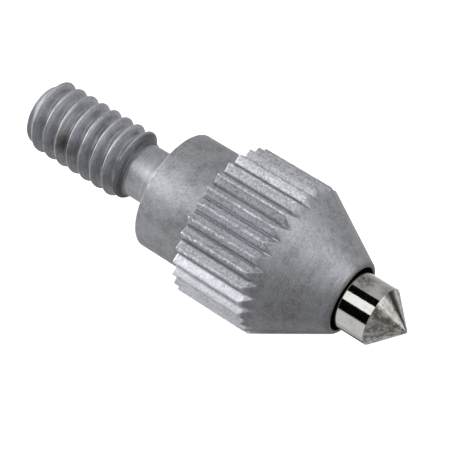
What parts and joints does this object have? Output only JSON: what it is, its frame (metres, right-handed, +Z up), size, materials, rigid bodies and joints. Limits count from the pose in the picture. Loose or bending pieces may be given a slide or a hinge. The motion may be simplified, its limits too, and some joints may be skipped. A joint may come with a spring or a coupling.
{
  "type": "live center",
  "caption": "Small live center: a threaded stud carries a knurled, cone-nosed housing in which a hardened 90 degree point spins on shielded ball bearings.",
  "frame": {"origin": "centre of the shoulder face that seats against the holder, on the spindle's axis", "axes": "+X along the spindle towards the point, the stud points to -X, +Z up when the center lies level as in a tailstock"},
  "size_m": [0.037, 0.0134, 0.0134],
  "materials": {
    "blasted_steel": "matte, bead-blasted",
    "ground_steel": "hardened, ground and polished",
    "race_steel": "hardened and ground",
    "ball_steel": "polished",
    "shield_steel": "pressed sheet, satin",
    "spring_steel": "tempered, satin",
    "cage_brass": "machined",
    "seal_rubber": "matte black"
  },
  "bodies": {
    "housing": {"stud_body": "blasted_steel", "knurled_housing": "blasted_steel", "front_outer_race": "race_steel", "front_shield_nose_side": "shield_steel", "front_shield_stud_side": "shield_steel", "front_clip_nose_side": "spring_steel", "front_clip_stud_side": "spring_steel", "rear_outer_race": "race_steel", "rear_shield_nose_side": "shield_steel", "rear_shield_stud_side": "shield_steel", "rear_clip_nose_side": "spring_steel", "rear_clip_stud_side": "spring_steel", "bearing_spacer": "race_steel", "preload_spring": "spring_steel", "thrust_pad": "race_steel", "nose_seal": "seal_rubber"},
    "spindle": {"center_spindle": "ground_steel", "front_inner_race": "race_steel", "rear_inner_race": "race_steel"},
    "front_cage": {"front_ball_cage": "cage_brass", "front_balls": "ball_steel"},
    "rear_cage": {"rear_ball_cage": "cage_brass", "rear_balls": "ball_steel"},
    "end_ball": {"thrust_ball": "ball_steel"}
  },
  "joints": [
    {"name": "spindle_spin", "type": "hinge", "parent": "housing", "child": "spindle", "pos_m": [0, 0, 0], "axis": [1, 0, 0], "continuous": true},
    {"name": "front_cage_spin", "type": "hinge", "parent": "housing", "child": "front_cage", "pos_m": [0.011, 0, 0], "axis": [1, 0, 0], "continuous": true},
    {"name": "rear_cage_spin", "type": "hinge", "parent": "housing", "child": "rear_cage", "pos_m": [0.0051, 0, 0], "axis": [1, 0, 0], "continuous": true},
    {"name": "end_ball_spin", "type": "hinge", "parent": "housing", "child": "end_ball", "pos_m": [0.003, 0, 0], "axis": [1, 0, 0], "continuous": true}
  ],
  "couplings": [
    {"joint": "front_cage_spin", "follows": "spindle_spin", "ratio": 0.3905},
    {"joint": "rear_cage_spin", "follows": "spindle_spin", "ratio": 0.4007},
    {"joint": "end_ball_spin", "follows": "spindle_spin", "ratio": 0.5}
  ]
}
